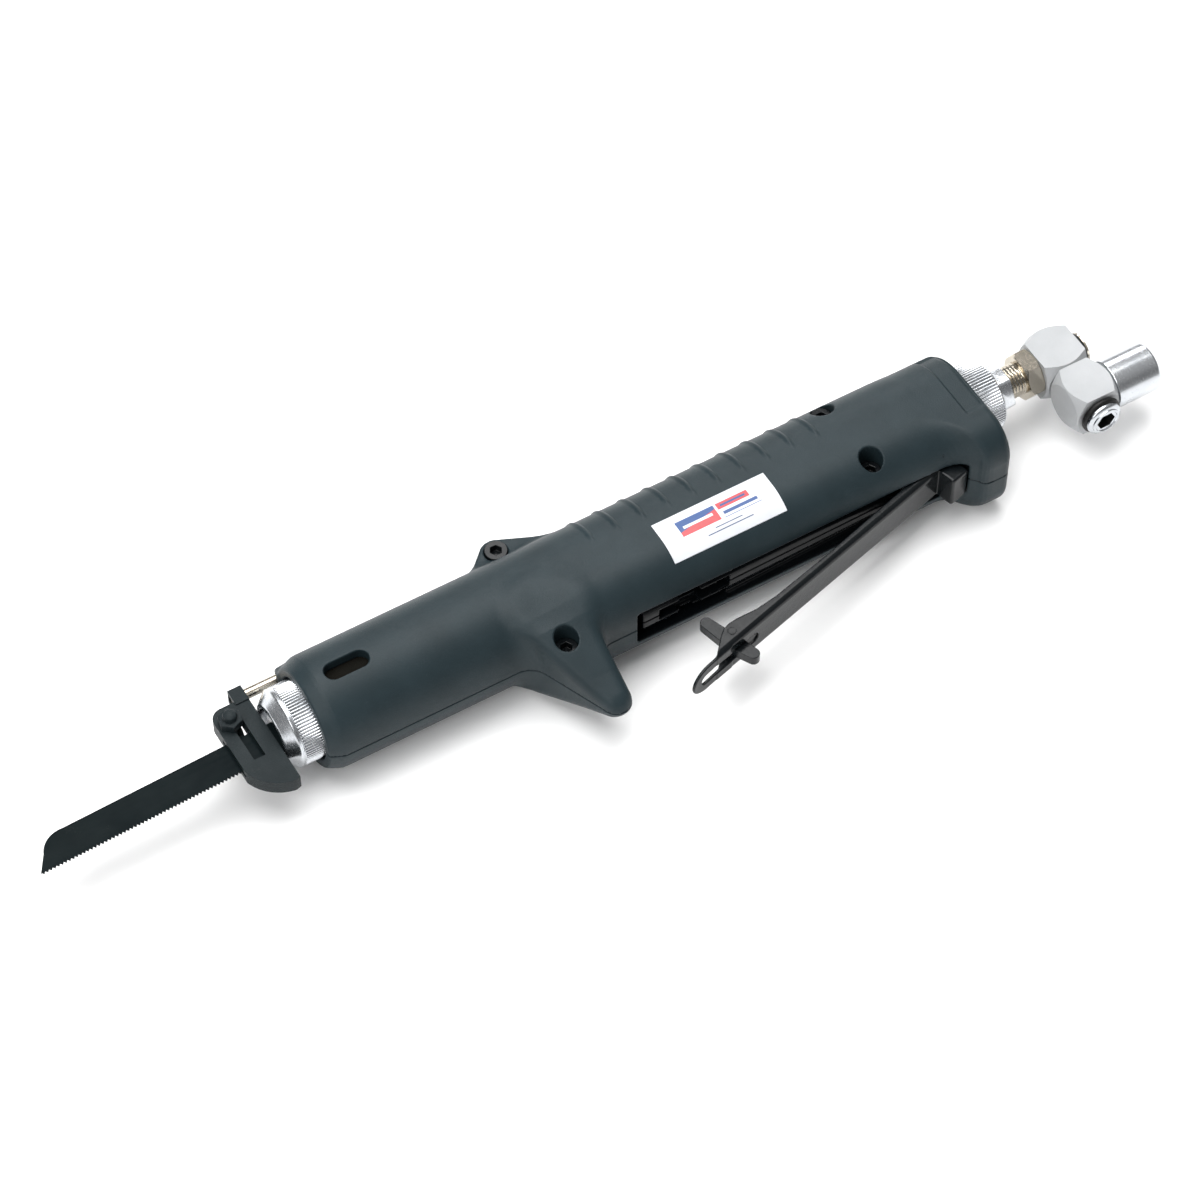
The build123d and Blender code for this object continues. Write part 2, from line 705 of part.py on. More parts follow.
for name, piece in pieces.items():
    piece.part.label = name
    export_step(piece.part.moved(FRAME), "parts/" + name + ".step")
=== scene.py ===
import bpy
import bmesh
import json
import math
import numpy as np
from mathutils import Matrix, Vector

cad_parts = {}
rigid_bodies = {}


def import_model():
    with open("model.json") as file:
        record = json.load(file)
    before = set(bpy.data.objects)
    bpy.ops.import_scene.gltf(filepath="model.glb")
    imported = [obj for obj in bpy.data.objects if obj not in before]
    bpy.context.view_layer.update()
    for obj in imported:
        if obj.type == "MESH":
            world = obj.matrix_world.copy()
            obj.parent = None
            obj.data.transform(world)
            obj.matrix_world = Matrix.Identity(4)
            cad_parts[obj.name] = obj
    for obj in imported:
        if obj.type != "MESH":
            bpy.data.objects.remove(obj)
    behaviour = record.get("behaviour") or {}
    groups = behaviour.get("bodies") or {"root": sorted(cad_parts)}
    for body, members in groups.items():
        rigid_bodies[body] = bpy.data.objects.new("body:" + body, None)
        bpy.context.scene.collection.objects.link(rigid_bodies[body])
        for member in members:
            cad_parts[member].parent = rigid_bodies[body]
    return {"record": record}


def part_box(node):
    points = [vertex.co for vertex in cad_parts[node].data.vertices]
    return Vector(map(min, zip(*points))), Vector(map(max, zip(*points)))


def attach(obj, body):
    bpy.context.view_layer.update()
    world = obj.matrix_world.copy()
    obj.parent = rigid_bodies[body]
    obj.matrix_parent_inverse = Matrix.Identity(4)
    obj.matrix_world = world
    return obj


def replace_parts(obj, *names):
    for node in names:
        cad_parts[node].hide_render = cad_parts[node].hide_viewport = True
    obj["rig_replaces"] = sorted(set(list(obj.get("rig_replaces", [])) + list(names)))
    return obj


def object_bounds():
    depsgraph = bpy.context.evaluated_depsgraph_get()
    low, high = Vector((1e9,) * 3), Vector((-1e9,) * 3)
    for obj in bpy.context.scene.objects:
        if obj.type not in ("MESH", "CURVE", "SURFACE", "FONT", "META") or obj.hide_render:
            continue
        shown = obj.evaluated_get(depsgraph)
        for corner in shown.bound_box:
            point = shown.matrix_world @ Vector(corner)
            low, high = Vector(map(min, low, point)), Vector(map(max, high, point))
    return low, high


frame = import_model()
cad_low, cad_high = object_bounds()

MM = 0.001
collar_low, collar_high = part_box("nose_collar")
shell_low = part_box("left_housing_shell")[0]
# zero of the tool's own frame: X at the housing's front lip, Y and Z on the collar's axis
TOOL = np.array((shell_low.x, (collar_low.y + collar_high.y) / 2, (collar_low.z + collar_high.z) / 2))


# ---- camera, light and floor ----
CAMERA_ANGLES = (-30.7, 53.7)           # azimuth and elevation
CAMERA_TARGET = (114.2, -8.6, 0)        # tool millimetres
CAMERA_DISTANCE = 1.488
CAMERA_LENS, CAMERA_SENSOR = 126.4, 36.0


def look_from(azimuth, elevation, target, distance):
    a, e = math.radians(azimuth), math.radians(elevation)
    back = Vector((math.sin(a) * math.cos(e), -math.cos(a) * math.cos(e), math.sin(e)))
    return Vector(target) + back * distance, (-back).to_track_quat("-Z", "Y")


def make_camera():
    data = bpy.data.cameras.new("camera")
    data.lens, data.sensor_width = CAMERA_LENS, CAMERA_SENSOR
    camera = bpy.data.objects.new("camera", data)
    bpy.context.scene.collection.objects.link(camera)
    camera.rotation_mode = "QUATERNION"
    target = place(CAMERA_TARGET)
    camera.location, camera.rotation_quaternion = look_from(*CAMERA_ANGLES, target, CAMERA_DISTANCE)
    data.clip_start, data.clip_end = 0.05, 50
    bpy.context.scene.camera = camera


def make_area_light(name, location, target, size, power):
    data = bpy.data.lights.new(name, "AREA")
    data.shape = "RECTANGLE"
    data.size, data.size_y = size
    data.energy = power
    lamp = bpy.data.objects.new(name, data)
    lamp.location = location
    lamp.rotation_mode = "QUATERNION"
    lamp.rotation_quaternion = (Vector(target) - Vector(location)).to_track_quat("-Z", "Y")
    bpy.context.scene.collection.objects.link(lamp)


def make_studio():
    world = bpy.data.worlds.new("studio")
    world.use_nodes = True
    tree = world.node_tree
    background = tree.nodes["Background"]
    # grey room, paler overhead
    coords = tree.nodes.new("ShaderNodeTexCoord")
    split = tree.nodes.new("ShaderNodeSeparateXYZ")
    tree.links.new(coords.outputs["Generated"], split.inputs["Vector"])
    room = ramp(tree, split.outputs["Z"], [(0.0, 0.5), (0.4, 0.30), (1.0, 0.8)])
    tree.links.new(room, background.inputs["Color"])
    background.inputs["Strength"].default_value = 0.75
    bpy.context.scene.world = world
    middle = (0, 0, 0)
    make_area_light("top", (-0.1, 0.25, 1.1), middle, (1.3, 0.9), 19)
    make_area_light("side", (-1.1, -0.5, 0.9), middle, (0.7, 0.7), 8)
    make_area_light("rim", (0.7, 1.1, 0.7), middle, (0.9, 0.4), 6)
    bpy.context.scene.view_settings.view_transform = "Standard"
    floor = bpy.data.meshes.new("floor")
    half = 4.0
    corners = [(-half, -half, 0), (half, -half, 0), (half, half, 0), (-half, half, 0)]
    floor.from_pydata(corners, [], [(0, 1, 2, 3)])
    floor_object = bpy.data.objects.new("floor", floor)
    bpy.context.scene.collection.objects.link(floor_object)
    floor_object.location.z = cad_low.z
    paper = bpy.data.materials.new("paper")
    paper.use_nodes = True
    shader = paper.node_tree.nodes["Principled BSDF"]
    shader.inputs["Base Color"].default_value = (0.98, 0.98, 0.98, 1)
    shader.inputs["Roughness"].default_value = 0.9
    shader.inputs["Specular IOR Level"].default_value = 0.0
    floor.materials.append(paper)


# ---- materials ----
def new_material(name, metallic=0.0, roughness=0.5, ior=1.5):
    material = bpy.data.materials.new(name)
    material.use_nodes = True
    shader = material.node_tree.nodes["Principled BSDF"]
    shader.inputs["Metallic"].default_value = metallic
    shader.inputs["Roughness"].default_value = roughness
    shader.inputs["IOR"].default_value = ior
    return material, material.node_tree, shader


def object_noise(tree, scale, detail=4.0, rough=0.55, stretch=(1, 1, 1)):
    """Noise over the object's own coordinates, scale in cells per metre."""
    coords = tree.nodes.new("ShaderNodeTexCoord")
    mapping = tree.nodes.new("ShaderNodeMapping")
    mapping.inputs["Scale"].default_value = stretch
    noise = tree.nodes.new("ShaderNodeTexNoise")
    noise.inputs["Scale"].default_value = scale
    noise.inputs["Detail"].default_value = detail
    noise.inputs["Roughness"].default_value = rough
    tree.links.new(coords.outputs["Object"], mapping.inputs["Vector"])
    tree.links.new(mapping.outputs["Vector"], noise.inputs["Vector"])
    return noise.outputs["Fac"]


def ramp(tree, factor, stops):
    """Colour ramp; stops are (place, colour or grey)."""
    made = tree.nodes.new("ShaderNodeValToRGB")
    elements = made.color_ramp.elements
    while len(elements) < len(stops):
        elements.new(0.5)
    for element, (place, colour) in zip(elements, stops):
        element.position = place
        element.color = (*colour, 1) if isinstance(colour, tuple) else (colour, colour, colour, 1)
    tree.links.new(factor, made.inputs["Fac"])
    return made.outputs["Color"]


def add_bump(tree, shader, height, distance):
    bump = tree.nodes.new("ShaderNodeBump")
    bump.inputs["Distance"].default_value = distance
    bump.inputs["Strength"].default_value = 1.0
    tree.links.new(height, bump.inputs["Height"])
    tree.links.new(bump.outputs["Normal"], shader.inputs["Normal"])


def make_finish(name, dark, light, metallic, rough_low, rough_high, grain, grain_depth,
                stretch=(1, 1, 1), ior=1.5):
    """Finish whose colour drifts in soft patches, with a fine grain in roughness and height."""
    material, tree, shader = new_material(name, metallic, 0.5, ior)
    patches = object_noise(tree, 60.0, 3.0)      # about 17 mm across
    tree.links.new(ramp(tree, patches, [(0.3, dark), (0.7, light)]), shader.inputs["Base Color"])
    fine = object_noise(tree, grain, 2.0, 0.6, stretch)
    tree.links.new(ramp(tree, fine, [(0.25, rough_low), (0.75, rough_high)]), shader.inputs["Roughness"])
    add_bump(tree, shader, fine, grain_depth)
    return material


def math_node(tree, operation, first, second=0.0, third=None):
    made = tree.nodes.new("ShaderNodeMath")
    made.operation = operation
    for place, value in enumerate((first, second, third)):
        if value is None:
            continue
        if isinstance(value, (int, float)):
            made.inputs[place].default_value = value
        else:
            tree.links.new(value, made.inputs[place])
    return made.outputs[0]


def add_wear(material, colour):
    """Faint paler scuffs, where handling has rubbed the finish."""
    tree = material.node_tree
    shader = tree.nodes["Principled BSDF"]
    rubbed = ramp(tree, object_noise(tree, 90, 5.0, 0.7), [(0.60, 0.0), (0.72, 0.35)])
    speckle = ramp(tree, object_noise(tree, 1400, 3.0, 0.7), [(0.5, 0.0), (0.62, 1.0)])
    mask = math_node(tree, "MULTIPLY", rubbed, speckle)
    mix = tree.nodes.new("ShaderNodeMixRGB")
    old = shader.inputs["Base Color"].links[0].from_socket
    tree.links.new(mask, mix.inputs["Fac"])
    tree.links.new(old, mix.inputs["Color1"])
    mix.inputs["Color2"].default_value = (*colour, 1)
    tree.links.new(mix.outputs["Color"], shader.inputs["Base Color"])


materials = {
    "housing": make_finish("housing_plastic", (0.010, 0.019, 0.023), (0.014, 0.025, 0.030), 0, 0.40, 0.56,
                           2300, 0.00007, ior=1.32),
    "black_steel": make_finish("lever_enamel", (0.003, 0.004, 0.005), (0.005, 0.007, 0.008), 0, 0.14, 0.24,
                               420, 0.00003, ior=1.32),
    "black_cast": make_finish("black_cast", (0.008, 0.013, 0.015), (0.015, 0.021, 0.023), 0, 0.38, 0.56,
                              2000, 0.00018, ior=1.24),
    "blade_steel": make_finish("blade_blue", (0.002, 0.005, 0.006), (0.005, 0.009, 0.010), 0, 0.34, 0.55,
                               700, 0.00003, stretch=(0.15, 1, 1), ior=1.13),
    "aluminium": make_finish("turned_aluminium", (0.50, 0.52, 0.55), (0.62, 0.64, 0.66), 1, 0.16, 0.30,
                             900, 0.00002, stretch=(3, 1, 1)),
    "satin": make_finish("satin_aluminium", (0.37, 0.38, 0.39), (0.43, 0.44, 0.45), 0.25, 0.5, 0.65,
                         1500, 0.00003),
    "nickel": make_finish("nickel_plate", (0.46, 0.42, 0.35), (0.58, 0.53, 0.45), 1, 0.12, 0.24,
                          900, 0.00002),
    "steel": make_finish("ground_steel", (0.42, 0.42, 0.42), (0.56, 0.56, 0.56), 1, 0.2, 0.36, 1200, 0.00002),
    "brass": make_finish("turned_brass", (0.5, 0.34, 0.12), (0.62, 0.44, 0.18), 1, 0.2, 0.35, 1200, 0.00002),
    "rubber": make_finish("nitrile", (0.006, 0.006, 0.006), (0.012, 0.012, 0.012), 0, 0.35, 0.5,
                          1500, 0.00003, ior=1.3),
    "felt": make_finish("felt", (0.005, 0.005, 0.004), (0.010, 0.009, 0.007), 0, 0.8, 1.0,
                        3000, 0.0002, ior=1.15),
    # the motor enamel also paints the housing's lever well near-black, as painted shade in that recess
    "motor_black": make_finish("motor_enamel_and_well_shade", (0.002, 0.003, 0.004), (0.004, 0.005, 0.006), 0, 0.16, 0.28,
                               300, 0.00003, ior=1.25),
}
for name, tone in (("black_cast", (0.06, 0.06, 0.055)), ("black_steel", (0.03, 0.03, 0.03)),
                   ("blade_steel", (0.04, 0.045, 0.04)), ("housing", (0.03, 0.042, 0.048))):
    add_wear(materials[name], tone)


def make_label_print():
    """Plain sticker: white ground, a red and blue block, two bars and two fine rules. It has no lettering."""
    low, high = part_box("side_label")
    material, tree, shader = new_material("label_print", 0.0, 0.35)
    coords = tree.nodes.new("ShaderNodeTexCoord")
    split = tree.nodes.new("ShaderNodeSeparateXYZ")
    tree.links.new(coords.outputs["Object"], split.inputs["Vector"])
    across = math_node(tree, "DIVIDE", math_node(tree, "SUBTRACT", split.outputs["X"], low.x), high.x - low.x)
    up = math_node(tree, "DIVIDE", math_node(tree, "SUBTRACT", split.outputs["Y"], low.y), high.y - low.y)

    def within(value, start, end):
        return math_node(tree, "COMPARE", value, (start + end) / 2, (end - start) / 2)

    def area(x0, x1, y0, y1):
        return math_node(tree, "MULTIPLY", within(across, x0, x1), within(up, y0, y1))

    def paint(under, mask, colour):
        mix = tree.nodes.new("ShaderNodeMixRGB")
        tree.links.new(mask, mix.inputs["Fac"])
        if isinstance(under, tuple):
            mix.inputs["Color1"].default_value = (*under, 1)
        else:
            tree.links.new(under, mix.inputs["Color1"])
        mix.inputs["Color2"].default_value = (*colour, 1)
        return mix.outputs["Color"]

    white, blue, red, dark = (0.66, 0.68, 0.72), (0.02, 0.07, 0.23), (0.48, 0.05, 0.06), (0.05, 0.08, 0.17)
    block = area(0.16, 0.50, 0.40, 0.80)
    fall = math_node(tree, "ADD", up, math_node(tree, "MULTIPLY", across, -0.55))
    slope = math_node(tree, "GREATER_THAN", fall, 0.42)
    colour = paint(white, block, red)
    colour = paint(colour, math_node(tree, "MULTIPLY", block, slope), blue)
    colour = paint(colour, area(0.20, 0.46, 0.565, 0.635), white)
    bars = ((0.52, 0.80, 0.63, 0.80, red), (0.55, 0.77, 0.69, 0.74, blue), (0.54, 0.84, 0.47, 0.55, blue),
            (0.53, 0.86, 0.395, 0.41, blue), (0.42, 0.66, 0.275, 0.295, dark), (0.34, 0.74, 0.19, 0.21, dark))
    for x0, x1, y0, y1, ink in bars:
        colour = paint(colour, area(x0, x1, y0, y1), ink)
    soil = ramp(tree, object_noise(tree, 160, 4.0), [(0.3, 0.93), (0.7, 1.0)])
    dirt = tree.nodes.new("ShaderNodeMixRGB")
    dirt.blend_type = "MULTIPLY"
    dirt.inputs["Fac"].default_value = 1.0
    tree.links.new(colour, dirt.inputs["Color1"])
    tree.links.new(soil, dirt.inputs["Color2"])
    tree.links.new(dirt.outputs["Color"], shader.inputs["Base Color"])
    fine = object_noise(tree, 900, 2.0)
    tree.links.new(ramp(tree, fine, [(0.3, 0.28), (0.7, 0.42)]), shader.inputs["Roughness"])
    add_bump(tree, shader, fine, 0.00001)
    return material


materials["label"] = make_label_print()
bodies = frame["record"]["behaviour"]["bodies"]
body_of_node = {name: body for body, names in bodies.items() for name in names}
slot_of = {row["node"]: row["material_slot"] for row in frame["record"]["subparts"]}


# ---- making pieces ----
def place(points):
    """Tool millimetres to the frame's metres."""
    return TOOL + np.asarray(points, float) * MM


def tool_box(node):
    """A CAD node's box in tool millimetres."""
    return [(np.array(corner) - TOOL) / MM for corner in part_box(node)]


def hexagon(radius, x=0.0, y=0.0, turn=0):
    """Corners of a hexagon, with the first one turned by some degrees."""
    angles = [math.radians(60 * n + turn) for n in range(6)]
    return [(x + radius * math.cos(angle), y + radius * math.sin(angle)) for angle in angles]


def stand_for(name, mesh, node, *slots):
    """Put a finished mesh in the scene in place of a CAD node, riding on that node's body."""
    piece = bpy.data.objects.new(name, mesh)
    bpy.context.scene.collection.objects.link(piece)
    for slot in slots or (slot_of[node],):
        mesh.materials.append(materials[slot])
    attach(piece, body_of_node[node])
    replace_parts(piece, node)
    return piece


def mesh_from(name, points, faces, smooth=True):
    mesh = bpy.data.meshes.new(name)
    mesh.from_pydata([tuple(p) for p in points], [], [tuple(int(i) for i in f) for f in faces])
    if smooth:
        mesh.polygons.foreach_set("use_smooth", np.ones(len(mesh.polygons), bool))
    return mesh


def soften(piece, width, angle=35.0, segments=2, material=-1):
    """Small rounded edges on a piece."""
    bevel = piece.modifiers.new("edges", "BEVEL")
    bevel.width = width * MM
    bevel.segments = segments
    bevel.limit_method = "ANGLE"
    bevel.angle_limit = math.radians(angle)
    bevel.harden_normals = False
    bevel.material = material
    piece.data.polygons.foreach_set("use_smooth", np.ones(len(piece.data.polygons), bool))
    piece.data.set_sharp_from_angle(angle=math.radians(angle))
    return piece


def merged_copy(node):
    """Copy of a CAD node's mesh with its flat faces joined up."""
    work = bmesh.new()
    work.from_mesh(bpy.data.objects[node].data)
    bmesh.ops.remove_doubles(work, verts=work.verts, dist=1e-6)
    bmesh.ops.dissolve_limit(work, angle_limit=math.radians(0.5), verts=work.verts, edges=work.edges)
    mesh = bpy.data.meshes.new(node + "_fine")
    work.to_mesh(mesh)
    work.free()
    mesh.materials.clear()
    return mesh


def face_outward(mesh):
    work = bmesh.new()
    work.from_mesh(mesh)
    bmesh.ops.recalc_face_normals(work, faces=work.faces)
    work.to_mesh(mesh)
    work.free()
    return mesh


def turned(name, rows, around, centre=(0.0, 0.0), teeth=0, along="X"):
    """Solid of revolution. rows are (place along, radius, depth of the grooves)."""
    theta = np.linspace(0, 2 * np.pi, around, endpoint=False)
    wave = np.abs((theta * teeth / (2 * np.pi)) % 1.0 - 0.5) * 2 if teeth else np.zeros(around)
    points = []
    for spot, radius, depth in rows:
        r = radius - depth * (1 - wave) ** 1.5 if teeth else np.full(around, radius)
        a, b, c = np.full(around, spot), r * np.cos(theta), r * np.sin(theta)
        if along == "X":
            points.append(np.stack((a, centre[0] + b, centre[1] + c), 1))
        elif along == "Y":
            points.append(np.stack((centre[0] + c, a, centre[1] + b), 1))
        else:
            points.append(np.stack((centre[0] + b, centre[1] + c, a), 1))
    count = len(rows)
    faces = []
    for i in range(count):
        for j in range(around):
            k, m = (i + 1) % count, (j + 1) % around
            faces.append((i * around + j, i * around + m, k * around + m, k * around + j))
    mesh = face_outward(mesh_from(name, place(np.concatenate(points)), faces))
    mesh.set_sharp_from_angle(angle=math.radians(30))
    return mesh


def prism(name, outline, low, high, along="Z"):
    """Straight solid from a closed outline in tool millimetres, along X, Y or Z."""
    order = {"Z": (0, 1, 2), "X": (2, 0, 1), "Y": (0, 2, 1)}[along]
    flat = [(u, v, w) for w in (low, high) for u, v in outline]
    points = [tuple(p[i] for i in order) for p in flat]
    n = len(outline)
    faces = [tuple(range(n - 1, -1, -1)), tuple(range(n, 2 * n))]
    faces += [(i, (i + 1) % n, n + (i + 1) % n, n + i) for i in range(n)]
    return face_outward(mesh_from(name, place(points), faces, False))


def carve(mesh, *steps):
    """Boolean steps, each (operation, other mesh), worked out once; returns the finished mesh."""
    base = bpy.data.objects.new("carving", mesh)
    bpy.context.scene.collection.objects.link(base)
    others = []
    for operation, other in steps:
        tool = bpy.data.objects.new("cutter", other)
        bpy.context.scene.collection.objects.link(tool)
        others.append(tool)
        modifier = base.modifiers.new("cut", "BOOLEAN")
        modifier.operation = operation
        modifier.solver = "EXACT"
        modifier.object = tool
    bpy.context.view_layer.update()
    result = bpy.data.meshes.new_from_object(base.evaluated_get(bpy.context.evaluated_depsgraph_get()))
    for made in [base] + others:
        bpy.data.objects.remove(made)
    result.materials.clear()
    return result


# ---- housing shells, from a distance field ----
def smooth_min(a, b, k):
    h = np.maximum(k - np.abs(a - b), 0) / k
    return np.minimum(a, b) - h * h * k * 0.25


def smooth_max(a, b, k):
    return -smooth_min(-a, -b, k)


def round_max(a, b, r):
    """Both a and b, with an outer edge of radius r."""
    return np.minimum(np.maximum(a + r, b + r), 0) + np.hypot(np.maximum(a + r, 0), np.maximum(b + r, 0)) - r


def ease(low, high, x):
    t = np.clip((x - low) / (high - low), 0, 1)
    return t * t * (3 - 2 * t)


def capsule(u, v, u0, v0, r0, u1, v1, r1):
    """Distance to the hull of two circles of different size."""
    du, dv = u1 - u0 - 0.01, v1 - v0
    length = np.maximum(np.hypot(du, dv), 1e-3)
    pu, pv = u - u0, v - v0
    side = np.abs(pu * dv - pv * du) / length
    rise = (pu * du + pv * dv) / length
    lean = np.clip((r0 - r1) / length, -0.99, 0.99)
    flat = np.sqrt(1 - lean * lean)
    k = flat * rise - lean * side
    middle = flat * side + lean * rise - r0
    return np.where(k < 0, np.hypot(side, rise) - r0,
                    np.where(k > flat * length, np.hypot(side, rise - length) - r1, middle))


HOUSING_LEN = 271.0
SPINE_R, BARREL_R, CORNER_R = 21.5, 21.3, 17.0     # round the spine, the barrel and the grip's lower corners
RIB_X, RIB_PITCH = 117.4, 10.32
ROD_Y = 19.3
PIVOT = (249.0, -22.4)
STEM_X = 234.0
SCREWS = ((90.0, -26.5, 5.0), (90.7, 24.0, 3.0), (221.7, -16.5, 8.0), (220.0, 12.8, 8.0))
WELL_HALF, WELL_FLOOR = 8.1, -18.1
WELL_START, WELL_MIDDLE, WELL_BACK, WELL_END = 119.0, 158.0, 241.0, 256.0
SADDLE_START, SADDLE_END = 122.0, 226.0
SEAM = 0.12               # half of the fine gap between the shells


def outer_field(x, y, z):
    """Outside of the housing."""
    height = np.abs(z)
    grip = ease(86, 106, x)
    slanted = x + np.clip((y + 24) * 0.3, -2.5, 6.5)
    foot = np.interp(slanted, (246, 248, 250, 252, 254, 255.4, 256.6, 257.4, 258.6, 260.6),
                     (0, 0.02, 0.07, 0.17, 0.34, 0.55, 0.80, 0.91, 0.98, 1.0))
    front = np.interp(x, (-2, 0, 2, 4, 5.4, 7), (3.2, 2.4, 1.45, 0.55, 0.1, 0))
    main_r = BARREL_R + (SPINE_R - BARREL_R) * grip - 0.3 * foot - front
    low_y = -9.8 * grip - 12.2 * foot
    low_z = 4.5 * grip + 3.2 * foot
    low_r = BARREL_R + (CORNER_R - BARREL_R) * grip - 3.5 * foot - front
    body = capsule(y, height, 0, 0, main_r, low_y, low_z, low_r)
    body = np.minimum(body, np.hypot(y - low_y, np.maximum(height - low_z, 0)) - low_r)
    # ribs round the spine
    place_in = (x - RIB_X + RIB_PITCH / 2) % RIB_PITCH - RIB_PITCH / 2
    angle = np.degrees(np.arctan2(height, y))
    rib = np.maximum(1 - (place_in / 1.15) ** 2, 0) ** 1.5 * ease(92, 80, angle) * (x > 112) * (x < 215)
    body = body - 0.5 * rib
    # plain recessed band behind the flare
    band = ease(261.6, 262.3, x) * ease(270.2, 269.5, x) * (z > 0)
    body = body + 0.8 * band * ease(41, 44, angle) * ease(131, 128, angle)
    body = round_max(body, x - HOUSING_LEN, 3.0)
    body = round_max(body, -x, 0.6)
    ridge = round_max(np.hypot(y - ROD_Y, z) - 3.8, np.maximum(0.4 - x, x - 64), 1.2)
    body = smooth_min(body, ridge, 3.5)
    hook = capsule(x, y, 90.5, -14.0, 13.2, 96.8, -49.4, 5.4)
    hook = smooth_max(hook, x - 103.7, 1.5)
    half = np.interp(-y, (0, 16, 22, 32, 42, 50, 54.8), (20.2, 19.0, 17.6, 13.2, 8.8, 5.8, 3.6))
    hook = smooth_max(hook, (height - half) * 0.9, 5.0)
    body = smooth_min(body, hook, 6.0)
    lug = np.minimum(capsule(x, y, 90.7, 23.5, 6.4, 116.7, 14.3, 4.0),
                     capsule(x, y, 90.7, 23.5, 6.4, 77.7, 14.3, 4.0))
    lug = round_max(lug, height - 7.0, 1.2)
    return smooth_min(body, lug, 3.5)


def well_field(x, y, z):
    """Well for the lever. Its saddle has a slot for the folded latch and notches for springs and pin."""
    half = np.abs(z) - WELL_HALF
    front = np.maximum.reduce((WELL_START - x, x - WELL_MIDDLE, y - WELL_FLOOR))
    floor = np.interp(x, (WELL_MIDDLE, WELL_BACK), (-23.3, -20.6))
    middle = np.maximum.reduce((WELL_MIDDLE - 1.0 - x, x - WELL_BACK - 0.5, y - floor))
    rear = np.maximum.reduce((WELL_BACK - x, x - WELL_END, y - PIVOT[1] - 4.9))
    well = smooth_max(np.minimum.reduce((front, middle, rear)), half, 1.6)
    crest = np.interp(x, (SADDLE_START, SADDLE_END), (-25.2, -23.8))
    ends = np.maximum(SADDLE_START - x, x - SADDLE_END)
    saddle = smooth_max(smooth_max(np.abs(z) - 6.0, crest - y, 4.0), ends, 0.8)
    well = smooth_max(well, -saddle, 0.5)
    slot = np.maximum.reduce((129.0 - x, x - WELL_MIDDLE, y - WELL_FLOOR, np.abs(z) - 2.7))
    springs = np.maximum.reduce((137.0 - x, x - 146.0, y + 20.6, np.abs(z) - 5.0))
    pin = np.maximum.reduce((138.8 - x, x - 143.4, y + 22.2, half))
    return np.minimum.reduce((well, slot, springs, pin))


def hollow_field(x, y, z):
    """Everything cut out of the housing apart from the lever's well."""
    radius = np.hypot(y, z)
    cut = np.minimum.reduce((
        np.maximum(radius - 15.7, x - 4.0),
        np.maximum.reduce((radius - 16.9, 3.0 - x, x - 207.0)),
        np.maximum(radius - 9.3, 206.0 - x),
        np.maximum(np.hypot(y - ROD_Y, z) - 2.05, x - 65.0),
        np.maximum.reduce((np.hypot(x - STEM_X, z) - 4.3, y, -y - 30)),
        np.maximum(np.hypot(x - PIVOT[0], y - PIVOT[1]) - 2.0, np.abs(z) - 12.5),
        np.maximum(capsule(x, y, 12.5, -1.0, 3.5, 22.5, -1.0, 3.5), 13.6 - z)))
    for sx, sy, floor in SCREWS:
        spot = np.hypot(x - sx, y - sy)
        cut = np.minimum(cut, np.maximum(spot - 2.5, np.abs(z) - 15.0))
        cut = np.minimum(cut, np.maximum(spot - 4.4, floor - z))
    return cut


def shell_field(x, y, z):
    whole = smooth_max(outer_field(x, y, z), -well_field(x, y, z), 0.7)
    return smooth_max(whole, -hollow_field(x, y, z), 0.5)


CORNERS = [(i, j, k) for i in (0, 1) for j in (0, 1) for k in (0, 1)]
EDGES = [(a, b) for a in range(8) for b in range(a + 1, 8)
         if sum(abs(CORNERS[a][n] - CORNERS[b][n]) for n in range(3)) == 1]


def surface_of(values, low, step):
    """Quads round the zero of a grid of values: one point in each cell that the surface crosses."""
    inside = values < 0
    cells = tuple(n - 1 for n in values.shape)
    total = np.zeros(cells, np.int8)
    for i, j, k in CORNERS:
        total += inside[i:i + cells[0], j:j + cells[1], k:k + cells[2]]
    spots = np.argwhere((total > 0) & (total < 8))
    corner = [values[spots[:, 0] + i, spots[:, 1] + j, spots[:, 2] + k] for i, j, k in CORNERS]
    sums, hits = np.zeros((len(spots), 3)), np.zeros(len(spots))
    for a, b in EDGES:
        crossed = (corner[a] < 0) != (corner[b] < 0)
        share = np.where(crossed, corner[a] / np.where(crossed, corner[a] - corner[b], 1), 0)
        start, end = np.array(CORNERS[a], float), np.array(CORNERS[b], float)
        sums += crossed[:, None] * (start + (end - start) * share[:, None])
        hits += crossed
    points = low + (spots + sums / hits[:, None]) * step
    index = np.full(cells, -1, np.int32)
    index[tuple(spots.T)] = np.arange(len(spots))
    quads = []
    for axis in range(3):
        one, two = (axis + 1) % 3, (axis + 2) % 3
        first = np.take(inside, range(cells[axis]), axis)
        second = np.take(inside, range(1, cells[axis] + 1), axis)
        ends = np.argwhere(first != second)
        across, up = ends[:, one], ends[:, two]
        ends = ends[(across > 0) & (up > 0) & (across < cells[one]) & (up < cells[two])]
        corners = []
        for a, b in ((0, 0), (1, 0), (1, 1), (0, 1)):
            cell = ends.copy()
            cell[:, one] -= a
            cell[:, two] -= b
            corners.append(index[tuple(cell.T)])
        quad = np.stack(corners, 1)
        leaving = first[tuple(ends.T)]
        quads.append(np.where(leaving[:, None], quad, quad[:, ::-1]))
    return points, np.concatenate(quads)


